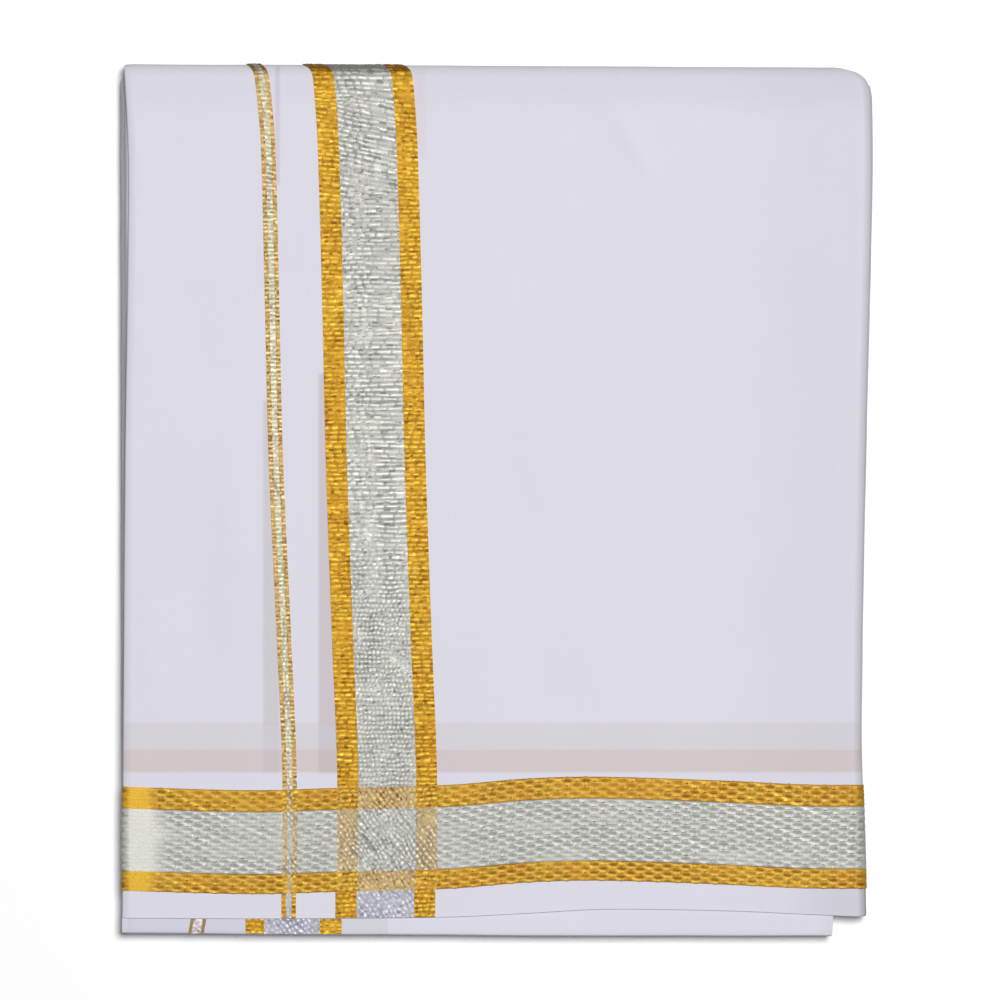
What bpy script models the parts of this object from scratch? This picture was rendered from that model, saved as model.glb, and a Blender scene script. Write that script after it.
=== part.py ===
"""A dhoti, folded for the shelf: one woven length of white cotton with gold and silver zari bands.

The length is folded selvedge to selvedge, pleated into a long packet and turned over once at the top.
What is left is a front run on top, a round turn and a back run that lies on the surface. The bottom of
the front run shows the selvedge and its border; the layers under it lap a little further down.

Frame: +X across the packet, +Y towards the top turn, +Z up. The origin is on the surface that the packet
rests on, under its middle. A point of the packet is given by x, by its travel along the outer skin (the
same as y on the front run, then round the turn and back) and by its depth under that skin.
"""
import math
from collections import namedtuple

import bmesh
import bpy
from mathutils import Matrix, Vector

MM = 0.001

# The packet
HALF_WIDTH = 136.7 * MM
HALF_LENGTH = 158.4 * MM
CLOTH_HEIGHT = 14.0 * MM
WALL = 1.4 * MM
SEAM = 0.3 * MM
CORNER_RADIUS = 10.5 * MM
EDGE_ROUNDING = 0.5 * MM

# The zari bands, woven in and modelled as strips that lie on the cloth
BAND_THICKNESS = 0.5 * MM
BAND_RISE = SEAM + BAND_THICKNESS
SELVEDGE_GOLD = 7.5 * MM
SELVEDGE_SILVER = 22.9 * MM
END_GOLD = 7.6 * MM
END_SILVER = 21.6 * MM
STRIPE_GOLD = 1.3 * MM
STRIPE_SILVER = 2.3 * MM

# The top turn
TURN_RADIUS = CLOTH_HEIGHT / 2
TURN_Y = HALF_LENGTH - BAND_RISE - TURN_RADIUS
TURN_LENGTH = math.pi * TURN_RADIUS
TURN_STEPS = 10
BAND_TURN_STEPS = 8

# How finely the runs are divided
FRONT_COLUMNS = 12
FRONT_ROWS = 12
BACK_COLUMNS = 4
BACK_ROWS = 4

# The front run sinks towards its loose selvedge end
SETTLE_DEPTH = 1.0 * MM
SETTLE_LENGTH = 80 * MM
CALM_LENGTH = 30 * MM

# How far each edge stays inside the packet's half width, up the packet
EdgeRow = namedtuple("EdgeRow", "y left front_right back_right")
EDGE_ROWS = (
    EdgeRow(-158.4, 0.4, 2.9, 15.0),
    EdgeRow(-80.0, 0.3, 4.0, 10.4),
    EdgeRow(20.0, 0.2, 2.3, 5.2),
    EdgeRow(90.0, 0.1, 0.6, 1.5),
    EdgeRow(125.0, 0.0, 0.0, 0.3),
    EdgeRow(158.4, 0.0, 0.5, 0.5),
)

# The wave of the border's middle line, of the selvedge below it and of the packet's foot, across the packet
BorderRow = namedtuple("BorderRow", "x middle selvedge foot")
BORDER_ROWS = (
    BorderRow(-136.7, -122.7, -151.6, -157.0),
    BorderRow(-82.0, -123.8, -151.8, -157.3),
    BorderRow(-17.0, -121.9, -151.2, -157.7),
    BorderRow(38.0, -118.9, -148.4, -158.0),
    BorderRow(82.0, -120.5, -148.9, -158.3),
    BorderRow(136.7, -122.2, -151.3, -158.4),
)

# The middle lines of the end band and the stripe, up the packet
BandRow = namedtuple("BandRow", "y end_band stripe")
BAND_ROWS = (
    BandRow(-158.4, -40.5, -75.6),
    BandRow(-102.0, -39.9, -75.7),
    BandRow(-51.0, -41.8, -77.7),
    BandRow(15.0, -44.0, -80.2),
    BandRow(73.0, -45.3, -81.6),
    BandRow(128.0, -46.9, -83.0),
    BandRow(144.0, -47.9, -83.9),
    BandRow(152.0, -48.6, -84.8),
    BandRow(158.4, -51.5, -88.0),
)

# Soft leaning troughs in the front run
TroughRow = namedtuple("TroughRow", "x y half_width half_length lean depth")
TROUGH_ROWS = (
    TroughRow(49.0, 128.0, 14.0, 34.0, 24.0, 0.35),
    TroughRow(-12.0, -70.0, 22.0, 60.0, 6.0, 0.30),
    TroughRow(92.0, -96.0, 24.0, 46.0, -14.0, 0.40),
    TroughRow(-108.0, 20.0, 20.0, 70.0, 3.0, 0.25),
)

# The folded layers under the skin: how deep each lies, and how far it stays back from the packet's edges
FoldRow = namedtuple("FoldRow", "top bottom left right front_end back_end")
FOLD_ROWS = (
    FoldRow(1.70, 3.10, 0.0, 1.3, 0.9, 1.6),
    FoldRow(3.10, 4.35, 1.3, 0.0, 0.2, 0.7),
    FoldRow(4.35, 5.60, 0.3, 1.6, 1.2, 1.9),
    FoldRow(5.60, 6.85, 1.1, 0.5, 0.5, 0.0),
)
FOLD_ROUNDING = 0.35
DEEPEST_SINK_SHARE = 0.25
SKIN_LEFT = 1.2 * MM
SKIN_RIGHT = 0.8 * MM
SKIN_BACK_END = 1.0 * MM

# Below the selvedge the folded layers lap out from under the front run, just lower than its skin
LAP_GAP = 0.3 * MM
LAP_LEAN = 0.25 * MM
LAP_DROP = 0.5 * MM
LAP_ROWS = 2

# The tails of an inner layer's bands, which show on the lap
UNDER_TAIL_INSET = 0.7 * MM
TailRow = namedtuple("TailRow", "name left right slot")
UNDER_TAILS = (
    TailRow("under_tail_stripe", -111.1, -105.5, "silver_zari"),
    TailRow("under_tail_gold_left", -91.2, -84.6, "gold_zari"),
    TailRow("under_tail_silver", -84.3, -64.4, "silver_zari"),
    TailRow("under_tail_gold_right", -64.1, -56.4, "gold_zari"),
)

COLOURS = {
    "cotton": ((0.73, 0.72, 0.79, 1.0), 0.85, 0.0),
    "gold_zari": ((0.62, 0.36, 0.06, 1.0), 0.42, 0.7),
    "silver_zari": ((0.58, 0.60, 0.58, 1.0), 0.40, 0.7),
}


def clear_scene():
    for thing in list(bpy.data.objects):
        bpy.data.objects.remove(thing, do_unlink=True)


def make_materials():
    made = {}
    for name, (colour, roughness, metallic) in COLOURS.items():
        material = bpy.data.materials.new(name)
        material.use_nodes = True
        shader = material.node_tree.nodes["Principled BSDF"]
        shader.inputs["Base Color"].default_value = colour
        shader.inputs["Roughness"].default_value = roughness
        shader.inputs["Metallic"].default_value = metallic
        made[name] = material
    return made


def smooth_step(share):
    share = min(max(share, 0.0), 1.0)
    return share * share * (3.0 - 2.0 * share)


def read_smooth(rows, column, at):
    """A smooth curve through one column of a table, read at a place in the table's first column."""
    keys = [row[0] * MM for row in rows]
    values = [getattr(row, column) * MM for row in rows]
    last = len(rows) - 1
    if at <= keys[0]:
        return values[0]
    if at >= keys[last]:
        return values[last]
    start = max(i for i in range(last) if keys[i] <= at)

    def slope(i):
        before, after = max(i - 1, 0), min(i + 1, last)
        return (values[after] - values[before]) / (keys[after] - keys[before])

    span = keys[start + 1] - keys[start]
    share = (at - keys[start]) / span
    rise = smooth_step(share)
    ease_out = share * (1.0 - share) ** 2
    ease_in = share * share * (1.0 - share)
    return (
        values[start] + (values[start + 1] - values[start]) * rise
        + span * (slope(start) * ease_out - slope(start + 1) * ease_in)
    )


def skin_y(travel):
    """The height up the packet of a point of the outer skin."""
    past = travel - TURN_Y
    if past <= 0.0:
        return travel
    if past < TURN_LENGTH:
        return TURN_Y + TURN_RADIUS * math.sin(past / TURN_RADIUS)
    return TURN_Y + TURN_LENGTH - past


def back_share(travel):
    """0 on the front run, 1 on the back run, turning evenly round the top."""
    return min(max((travel - TURN_Y) / TURN_LENGTH, 0.0), 1.0)


def left_edge(travel):
    return read_smooth(EDGE_ROWS, "left", skin_y(travel)) - HALF_WIDTH


def right_edge(travel):
    """The right edge, slanting in on the back run and rounded at the top corner."""
    y = skin_y(travel)
    share = back_share(travel)
    front = read_smooth(EDGE_ROWS, "front_right", y)
    back = read_smooth(EDGE_ROWS, "back_right", y)
    edge = HALF_WIDTH - front - (back - front) * share
    into_corner = y - (TURN_Y + TURN_RADIUS - CORNER_RADIUS)
    if into_corner > 0.0:
        edge -= CORNER_RADIUS - math.sqrt(CORNER_RADIUS ** 2 - min(into_corner, CORNER_RADIUS) ** 2)
    return edge


def border_middle(x):
    return read_smooth(BORDER_ROWS, "middle", x)


def border_half_width():
    return SELVEDGE_SILVER / 2 + SEAM + SELVEDGE_GOLD


def front_end(x):
    """Where the front run ends, at the selvedge."""
    return read_smooth(BORDER_ROWS, "selvedge", x)


def back_end(x, back):
    """The travel at which the back run ends, a little back from its foot."""
    return TURN_Y + TURN_LENGTH + TURN_Y - read_smooth(BORDER_ROWS, "foot", x) - back


def sink(x, y):
    """How far the front skin lies below its full height: it settles at the loose end and in soft troughs."""
    calm = smooth_step((TURN_Y - y) / CALM_LENGTH)
    depth = SETTLE_DEPTH * smooth_step((SETTLE_LENGTH - HALF_LENGTH - y) / SETTLE_LENGTH)
    for row in TROUGH_ROWS:
        lean = math.radians(row.lean)
        along_x, along_y = x - row.x * MM, y - row.y * MM
        across = along_x * math.cos(lean) + along_y * math.sin(lean)
        along = along_y * math.cos(lean) - along_x * math.sin(lean)
        reach = (across / (row.half_width * MM)) ** 2 + (along / (row.half_length * MM)) ** 2
        depth += row.depth * MM * math.exp(-reach)
    return depth * calm


def packet_point(x, travel, depth, sink_share=1.0):
    """The point of the packet at x, at a travel along its skin and a depth under it."""
    radius = TURN_RADIUS - depth
    past = travel - TURN_Y
    if past <= 0.0:
        return Vector((x, travel, TURN_RADIUS + radius - sink(x, travel) * sink_share))
    if past < TURN_LENGTH:
        angle = past / TURN_RADIUS
        return Vector((x, TURN_Y + radius * math.sin(angle), TURN_RADIUS + radius * math.cos(angle)))
    return Vector((x, skin_y(travel), TURN_RADIUS - radius))


def lap_height(x, y):
    """The height of the lap's top below the selvedge, which follows the settled front skin."""
    return CLOTH_HEIGHT - sink(x, y) - LAP_DROP


def even_steps(start, end, count):
    return [start + (end - start) * i / count for i in range(count + 1)]


def turn_travels(steps):
    """The travels of the steps round the turn, after its start and before the given one."""
    return [TURN_Y + TURN_LENGTH * i / TURN_STEPS for i in range(1, steps)]


def cloth_sheet(name, columns, rows, point, thickness, rounding, material):
    """A grid laid along the cloth by point(column, row), given its thickness inwards and its rim rounded."""
    grid = bmesh.new()
    bmesh.ops.create_grid(grid, x_segments=columns, y_segments=rows, size=0.5)
    for vertex in grid.verts:
        column = round((vertex.co.x + 0.5) * columns)
        row = round((vertex.co.y + 0.5) * rows)
        vertex.co = point(column, row)
    mesh = bpy.data.meshes.new(name)
    grid.to_mesh(mesh)
    grid.free()
    mesh.materials.append(material)
    mesh.shade_smooth()
    sheet = bpy.data.objects.new(name, mesh)
    bpy.context.scene.collection.objects.link(sheet)
    wall = sheet.modifiers.new("wall", "SOLIDIFY")
    wall.thickness = thickness
    wall.offset = -1.0
    wall.use_even_offset = True
    if rounding:
        rim = sheet.modifiers.new("rim", "BEVEL")
        rim.limit_method = "ANGLE"
        rim.angle_limit = math.radians(60)
        rim.width = rounding
        rim.segments = 2
    return sheet


def skin_sheet(name, travels, columns, material):
    """A stretch of the outer skin, between its left and right edges, at the given rows of travels."""
    last = len(travels(0.0)) - 1

    def point(column, row):
        share = column / columns
        middle_travel = travels(0.0)[row]
        x = left_edge(middle_travel) + SKIN_LEFT
        x += (right_edge(middle_travel) - SKIN_RIGHT - x) * share
        return packet_point(x, travels(x)[row], 0.0)

    return cloth_sheet(name, columns, last, point, WALL, EDGE_ROUNDING, material)


def build_skin(cotton):
    """The outermost layer of cotton, a node for each stretch that shows."""
    turn_start = TURN_Y + SEAM / 2
    turn_end = TURN_Y + TURN_LENGTH - SEAM / 2
    back_start = turn_end + SEAM

    def front_rows(x):
        return even_steps(front_end(x), turn_start - SEAM, FRONT_ROWS)

    def turn_rows(x):
        return [turn_start, *turn_travels(TURN_STEPS), turn_end]

    def back_rows(x):
        return even_steps(back_start, back_end(x, SKIN_BACK_END), BACK_ROWS)

    skin_sheet("front_stretch", front_rows, FRONT_COLUMNS, cotton)
    skin_sheet("top_turn", turn_rows, FRONT_COLUMNS, cotton)
    skin_sheet("back_stretch", back_rows, BACK_COLUMNS, cotton)


def fold_rings():
    """Down the rim of the stack of folds: each ring's depth and how far it stays back on the four sides."""
    rings = []
    for row in FOLD_ROWS:
        bulge = (
            (row.top, FOLD_ROUNDING),
            (row.top + FOLD_ROUNDING, 0.0),
            (row.bottom - FOLD_ROUNDING, 0.0),
            (row.bottom, FOLD_ROUNDING),
        )
        for depth, back in bulge:
            stays_back = (row.left, row.right, row.front_end, row.back_end)
            rings.append((depth * MM, *((side + back) * MM for side in stays_back)))
    return rings


def fold_point(ring, column, step):
    """The point of the stack at one ring's depth: across by column, and along the packet by step."""
    depth, left, right, front, back = ring

    def travels(x):
        lap = 2 * TURN_Y + TURN_LENGTH - front_end(x) + LAP_GAP
        runs_up = even_steps(front_end(x) + front, TURN_Y, FRONT_ROWS)
        runs_down = even_steps(TURN_Y + TURN_LENGTH, lap, BACK_ROWS)
        return [*runs_up, *turn_travels(TURN_STEPS), *runs_down, lap + LAP_LEAN, back_end(x, back)]

    travel = travels(0.0)[step]
    start, end = left_edge(travel) + left, right_edge(travel) - right
    x = start + (end - start) * column / FRONT_COLUMNS
    travel = travels(x)[step]
    top, bottom = FOLD_ROWS[0].top * MM, FOLD_ROWS[-1].bottom * MM
    share = (depth - top) / (bottom - top)
    if step > FRONT_ROWS + TURN_STEPS + BACK_ROWS:
        depth = top + (lap_height(x, skin_y(travel)) - top) * share
    return packet_point(x, travel, depth, 1.0 - (1.0 - DEEPEST_SINK_SHARE) * share)


def build_inner_folds(cotton):
    """The hidden layers as one solid, with the uneven edge of each layer shown at its rim."""
    rings = fold_rings()
    steps = FRONT_ROWS + TURN_STEPS + BACK_ROWS + LAP_ROWS
    stack = bmesh.new()
    bmesh.ops.create_grid(stack, x_segments=FRONT_COLUMNS, y_segments=steps, size=0.5)
    rim = [edge for edge in stack.edges if edge.is_boundary]
    for _ in rings[1:]:
        grown = bmesh.ops.extrude_edge_only(stack, edges=rim)["geom"]
        corners = [item for item in grown if isinstance(item, bmesh.types.BMVert)]
        bmesh.ops.translate(stack, verts=corners, vec=(0.0, 0.0, -1.0))
        rim = [item for item in grown if isinstance(item, bmesh.types.BMEdge) and item.is_boundary]
    lowest = Matrix.Translation((0.0, 0.0, 1.0 - len(rings)))
    bmesh.ops.create_grid(stack, x_segments=FRONT_COLUMNS, y_segments=steps, size=0.5, matrix=lowest)
    bmesh.ops.remove_doubles(stack, verts=stack.verts, dist=0.001)
    bmesh.ops.recalc_face_normals(stack, faces=stack.faces)
    for vertex in stack.verts:
        column = round((vertex.co.x + 0.5) * FRONT_COLUMNS)
        step = round((vertex.co.y + 0.5) * steps)
        vertex.co = fold_point(rings[round(-vertex.co.z)], column, step)
    mesh = bpy.data.meshes.new("inner_folds")
    stack.to_mesh(mesh)
    stack.free()
    mesh.materials.append(cotton)
    folds = bpy.data.objects.new("inner_folds", mesh)
    bpy.context.scene.collection.objects.link(folds)


def front_band(name, left, right, middle, start, travels_on, material):
    """A strip that runs up the front between two offsets from the middle line of its band."""
    rows = FRONT_ROWS + len(travels_on)

    def point(column, row):
        across = left + (right - left) * column
        if row <= FRONT_ROWS:
            foot = start(middle(0.0) + across)
            travel = foot + (TURN_Y - foot) * row / FRONT_ROWS
        else:
            travel = travels_on[row - FRONT_ROWS - 1]
        x = middle(skin_y(travel)) + across
        return packet_point(x, travel, -BAND_RISE)

    return cloth_sheet(name, 1, rows, point, BAND_THICKNESS, 0.0, material)


def front_tail(name, left, right, middle, material):
    """The short end of a strip, in the plain margin between the border and the selvedge."""

    def point(column, row):
        x = middle(-HALF_LENGTH) + left + (right - left) * column
        head = border_middle(x) - border_half_width() - SEAM
        foot = front_end(x) + SEAM
        return packet_point(x, foot + (head - foot) * row, -BAND_RISE)

    return cloth_sheet(name, 1, 1, point, BAND_THICKNESS, 0.0, material)


def band_strips(gold, silver):
    """The left and right offsets of a band's gold, silver and gold strips, a seam apart."""
    inner, outer = silver / 2, silver / 2 + SEAM + gold
    return (
        ("gold_left", -outer, -inner - SEAM, "gold_zari"),
        ("silver", -inner, inner, "silver_zari"),
        ("gold_right", inner + SEAM, outer, "gold_zari"),
    )


def end_band_middle(y):
    return read_smooth(BAND_ROWS, "end_band", y)


def stripe_middle(y):
    return read_smooth(BAND_ROWS, "stripe", y)


def build_end_bands(materials):
    """The wide end band and the narrow stripe, which run up the front and over the top turn."""
    over_turn = turn_travels(BAND_TURN_STEPS + 1)

    def above_border(x):
        return border_middle(x) + border_half_width() + SEAM

    bands = (
        ("end", end_band_middle, END_GOLD, END_SILVER),
        ("stripe", stripe_middle, STRIPE_GOLD, STRIPE_SILVER),
    )
    for band, middle, gold, silver in bands:
        for strip, left, right, slot in band_strips(gold, silver):
            name = f"{band}_{strip}"
            front_band(name, left, right, middle, above_border, over_turn, materials[slot])
            front_tail(f"{name}_tail", left, right, middle, materials[slot])


def build_selvedge_border(materials):
    """The lengthwise border: silver between two golds, across the whole front run."""
    for strip, low, high, slot in band_strips(SELVEDGE_GOLD, SELVEDGE_SILVER):

        def point(column, row, low=low, high=high):
            rise = low + (high - low) * row
            start = left_edge(border_middle(0.0)) + SKIN_LEFT + EDGE_ROUNDING
            end = right_edge(border_middle(0.0)) - SKIN_RIGHT - EDGE_ROUNDING
            x = start + (end - start) * column / (2 * FRONT_COLUMNS)
            return packet_point(x, border_middle(x) + rise, -BAND_RISE)

        name = "border_" + strip.replace("left", "lower").replace("right", "upper")
        cloth_sheet(name, 2 * FRONT_COLUMNS, 1, point, BAND_THICKNESS, 0.0, materials[slot])


def build_under_tails(materials):
    """The ends of an inner layer's bands, on the lap that shows below the front run."""
    for row in UNDER_TAILS:

        def point(column, step, row=row):
            x = (row.left + (row.right - row.left) * column) * MM
            y = front_end(x) - UNDER_TAIL_INSET
            y += (read_smooth(BORDER_ROWS, "foot", x) + UNDER_TAIL_INSET - y) * (1 - step)
            return Vector((x, y, lap_height(x, y) + BAND_RISE))

        cloth_sheet(row.name, 1, 1, point, BAND_THICKNESS, 0.0, materials[row.slot])


clear_scene()
zari_and_cotton = make_materials()
build_skin(zari_and_cotton["cotton"])
build_inner_folds(zari_and_cotton["cotton"])
build_end_bands(zari_and_cotton)
build_selvedge_border(zari_and_cotton)
build_under_tails(zari_and_cotton)
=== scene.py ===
import functools
import math
from collections import namedtuple

import bmesh
import bpy
from mathutils import Matrix, Vector, noise


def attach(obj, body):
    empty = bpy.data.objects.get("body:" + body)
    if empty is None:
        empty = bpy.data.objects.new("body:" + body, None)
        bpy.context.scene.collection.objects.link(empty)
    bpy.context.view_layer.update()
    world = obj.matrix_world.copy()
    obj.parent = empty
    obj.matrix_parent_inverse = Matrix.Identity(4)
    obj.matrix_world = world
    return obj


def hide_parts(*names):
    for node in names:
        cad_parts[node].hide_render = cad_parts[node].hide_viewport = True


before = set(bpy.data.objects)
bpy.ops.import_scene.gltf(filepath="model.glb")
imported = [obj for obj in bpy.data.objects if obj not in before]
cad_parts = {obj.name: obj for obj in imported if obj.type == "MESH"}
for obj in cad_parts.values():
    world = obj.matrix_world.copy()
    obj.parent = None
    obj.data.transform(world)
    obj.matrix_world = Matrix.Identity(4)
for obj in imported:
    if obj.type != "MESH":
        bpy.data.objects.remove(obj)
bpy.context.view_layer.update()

# ---- Outer skin ----------------------------------------------------------------------------------
# One length of fine white cotton, plain-woven. It runs up the front, round the top and down the back.
# Its two sides are folds: the cloth rolls under there and goes on inside the packet.
MM = 0.001
HALF_WIDTH = 136.7 * MM
HALF_LENGTH = 158.4 * MM
CORNER_RADIUS = 10.5 * MM

# The back run is lifted a little, so that its zari bands lie flat on the surface
BACK_LIFT = 0.35 * MM
TURN_RADIUS = 7.0 * MM - BACK_LIFT / 2
TURN_Z = 7.0 * MM + BACK_LIFT / 2
TURN_Y = 157.5 * MM - TURN_RADIUS
TURN_LENGTH = math.pi * TURN_RADIUS
BACK_START = TURN_Y + TURN_LENGTH
TURN_SQUARENESS = 0.80
SETTLE_DEPTH = 1.0 * MM
SETTLE_LENGTH = 80 * MM
CALM_LENGTH = 22 * MM

# The packet's top leans out at the left, a little less with each step to the right
TOP_LEAN, TOP_LEAN_CHANGE = 1.1 * MM, 1.25 * MM
LEAN_START, LEAN_LENGTH = 60 * MM, 90 * MM

# Soft unevenness that is left in the cloth: how wide and how deep
WIDE_RIPPLE, WIDE_RIPPLE_DEPTH = 46 * MM, 0.22 * MM
FINE_RIPPLE, FINE_RIPPLE_DEPTH = 13 * MM, 0.05 * MM
BACK_RIPPLE, BACK_RIPPLE_DEPTH = 40 * MM, 0.25 * MM
TURN_RIPPLE, TURN_RIPPLE_DEPTH = 34 * MM, 0.15 * MM

# How far each edge stays inside the packet's half width, and the skin inside the folds' two edges
EdgeRow = namedtuple("EdgeRow", "y left front_right back_right skin_left skin_right")
EDGE_ROWS = (
    EdgeRow(-158.4, 0.5, 2.2, 15.0, 0.1, 0.2),
    EdgeRow(-122.0, 0.4, 3.0, 12.9, 0.4, 0.3),
    EdgeRow(-80.0, 0.3, 4.0, 10.4, 0.8, 0.5),
    EdgeRow(20.0, 0.2, 2.3, 5.2, 1.6, 0.6),
    EdgeRow(90.0, 0.1, 0.6, 1.5, 2.7, 0.6),
    EdgeRow(125.0, 0.0, 0.0, 0.3, 2.9, 0.6),
    EdgeRow(158.4, 0.0, 0.5, 0.5, 1.2, 0.8),
)

# The wave of the border's middle line, of the selvedge below it and of the packet's foot, across the packet
BorderRow = namedtuple("BorderRow", "x middle selvedge foot")
BORDER_ROWS = (
    BorderRow(-136.7, -123.1, -151.6, -157.5),
    BorderRow(-88.0, -124.4, -151.8, -157.8),
    BorderRow(-60.0, -123.6, -151.7, -157.9),
    BorderRow(-17.0, -122.4, -151.2, -158.1),
    BorderRow(12.0, -120.1, -149.8, -158.3),
    BorderRow(38.0, -119.5, -148.4, -158.4),
    BorderRow(82.0, -120.9, -148.9, -158.4),
    BorderRow(112.0, -122.3, -150.2, -158.4),
    BorderRow(136.7, -122.4, -151.3, -158.4),
)

# Creases, from one end to the other: a ridge stands proud and a trough has a negative height
Crease = namedtuple("Crease", "x1 y1 x2 y2 half_width height")
FRONT_CREASES = (
    Crease(29.5, 154.0, 33.0, 98.0, 6.0, -0.60),
    Crease(36.0, 157.0, 57.0, 114.0, 4.0, 0.85),
    Crease(-15.0, 99.0, 17.0, 36.0, 12.0, 0.66),
    Crease(17.0, 44.0, 25.0, -34.0, 12.0, 0.70),
    Crease(-114.0, 82.0, -108.0, 34.0, 11.0, -0.45),
    Crease(-97.0, 32.0, -92.0, -40.0, 8.0, 0.40),
    Crease(-128.0, -20.0, -126.0, -78.0, 6.0, 0.35),
    Crease(-112.0, -22.0, -104.0, -62.0, 6.0, -0.30),
    Crease(81.0, -0.5, 94.0, -3.0, 2.6, 0.26),
    Crease(60.0, -72.0, 112.0, -40.0, 15.0, -0.60),
    Crease(96.0, 88.0, 118.0, 30.0, 14.0, -0.55),
    Crease(6.0, -66.0, 34.0, -78.0, 12.0, -0.40),
    Crease(74.0, 40.0, 66.0, -16.0, 9.0, 0.38),
    Crease(127.0, 128.0, 129.0, -70.0, 3.5, -0.25),
    Crease(57.0, -141.8, 132.0, -147.0, 1.3, 0.24),
    Crease(-120.0, -146.0, -62.0, -147.4, 1.6, 0.16),
)
BACK_CREASES = (
    Crease(-20.0, 140.0, 12.0, 60.0, 10.0, 0.45),
    Crease(24.0, 70.0, 30.0, -40.0, 12.0, 0.35),
    Crease(70.0, 120.0, 96.0, 20.0, 9.0, 0.50),
    Crease(-112.0, 90.0, -104.0, -30.0, 11.0, 0.35),
    Crease(-30.0, -60.0, 60.0, -96.0, 13.0, 0.40),
    Crease(84.0, -30.0, 104.0, -128.0, 8.0, 0.35),
)


def smooth_step(share):
    share = min(max(share, 0.0), 1.0)
    return share * share * (3.0 - 2.0 * share)


@functools.cache
def read_smooth(rows, column, at):
    """A smooth curve through one column of a table, read at a place in the table's first column."""
    keys = [row[0] * MM for row in rows]
    values = [getattr(row, column) * MM for row in rows]
    last = len(rows) - 1
    if at <= keys[0]:
        return values[0]
    if at >= keys[last]:
        return values[last]
    start = max(i for i in range(last) if keys[i] <= at)

    def slope(i):
        before, after = max(i - 1, 0), min(i + 1, last)
        return (values[after] - values[before]) / (keys[after] - keys[before])

    span = keys[start + 1] - keys[start]
    share = (at - keys[start]) / span
    ease_out = share * (1.0 - share) ** 2
    ease_in = share * share * (1.0 - share)
    rise = (values[start + 1] - values[start]) * smooth_step(share)
    return values[start] + rise + span * (slope(start) * ease_out - slope(start + 1) * ease_in)


def skin_y(travel):
    """The height up the packet of a point of the outer skin."""
    past = travel - TURN_Y
    if past <= 0.0:
        return travel
    if past < TURN_LENGTH:
        return TURN_Y + TURN_RADIUS * math.sin(past / TURN_RADIUS)
    return TURN_Y + TURN_LENGTH - past


@functools.cache
def left_edge(travel):
    return read_smooth(EDGE_ROWS, "left", skin_y(travel)) - HALF_WIDTH


@functools.cache
def right_edge(travel):
    """The right edge, slanting in on the back run and rounded at the top corner."""
    y = skin_y(travel)
    share = min(max((travel - TURN_Y) / TURN_LENGTH, 0.0), 1.0)
    front = read_smooth(EDGE_ROWS, "front_right", y)
    back = read_smooth(EDGE_ROWS, "back_right", y)
    edge = HALF_WIDTH - front - (back - front) * share
    into_corner = min(max(y - (TURN_Y + TURN_RADIUS - CORNER_RADIUS), 0.0), CORNER_RADIUS)
    return edge - CORNER_RADIUS + math.sqrt(CORNER_RADIUS ** 2 - into_corner ** 2)


def front_end(x):
    """Where the front run ends, at the selvedge."""
    return read_smooth(BORDER_ROWS, "selvedge", x)


def back_end(x, back):
    """The travel at which the back run ends, a little back from its foot."""
    return BACK_START + TURN_Y - read_smooth(BORDER_ROWS, "foot", x) - back


def crease_height(creases, x, y):
    """How far the cloth stands proud at a point, from all the creases near it."""
    height = 0.0
    for crease in creases:
        run_x, run_y = crease.x2 - crease.x1, crease.y2 - crease.y1
        to_x, to_y = x / MM - crease.x1, y / MM - crease.y1
        share = (to_x * run_x + to_y * run_y) / (run_x ** 2 + run_y ** 2)
        off = (to_x * run_y - to_y * run_x) / math.hypot(run_x, run_y) / crease.half_width
        if abs(off) < 2.5 and -0.15 < share < 1.15:
            fade = smooth_step((share + 0.15) / 0.45) * smooth_step((1.15 - share) / 0.45)
            height += crease.height * MM * fade * math.exp(-off * off)
    return height


def ripple(x, travel, size, seed):
    return noise.noise(Vector((x / size, travel / size, seed)))


def sink(x, y):
    """How far the front skin lies below its full height: it settles at the loose end and in its creases."""
    calm = smooth_step((TURN_Y + 4 * MM - y) / CALM_LENGTH)
    depth = SETTLE_DEPTH * smooth_step((SETTLE_LENGTH - HALF_LENGTH - y) / SETTLE_LENGTH)
    depth -= crease_height(FRONT_CREASES, x, y)
    depth += WIDE_RIPPLE_DEPTH * ripple(x, y, WIDE_RIPPLE, 3.1)
    depth += FINE_RIPPLE_DEPTH * ripple(x, y, FINE_RIPPLE, 8.4)
    return depth * calm


def back_rise(x, y):
    """How far the back skin lifts off the surface, between the places where it rests."""
    calm = smooth_step((TURN_Y - y) / CALM_LENGTH)
    uneven = BACK_RIPPLE_DEPTH * max(ripple(x, y, BACK_RIPPLE, 5.7), 0.0)
    return (crease_height(BACK_CREASES, x, y) + uneven) * calm


def squared(share):
    """A sine or cosine pushed outwards, which makes a round turn a little squarer."""
    return math.copysign(abs(share) ** TURN_SQUARENESS, share)


def packet_point(x, travel, depth, sink_share=1.0):
    """The point of the packet at x, at a travel along its skin and a depth under it."""
    radius = TURN_RADIUS - depth
    past = travel - TURN_Y
    y = skin_y(travel)
    top_lean = TOP_LEAN - TOP_LEAN_CHANGE * (x + HALF_WIDTH) / (2 * HALF_WIDTH)
    lean = top_lean * smooth_step((y - LEAN_START) / LEAN_LENGTH)
    if past <= 0.0:
        return Vector((x, y + lean, TURN_Z + radius - sink(x, y) * sink_share))
    if past < TURN_LENGTH:
        angle = past / TURN_RADIUS
        uneven = TURN_RIPPLE_DEPTH * ripple(x, travel, TURN_RIPPLE, 2.2) * math.sin(angle)
        out, up = (radius + uneven) * squared(math.sin(angle)), radius * squared(math.cos(angle))
        return Vector((x, TURN_Y + out + top_lean, TURN_Z + up))
    return Vector((x, y + lean, TURN_Z - radius + back_rise(x, y) * sink_share))


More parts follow.
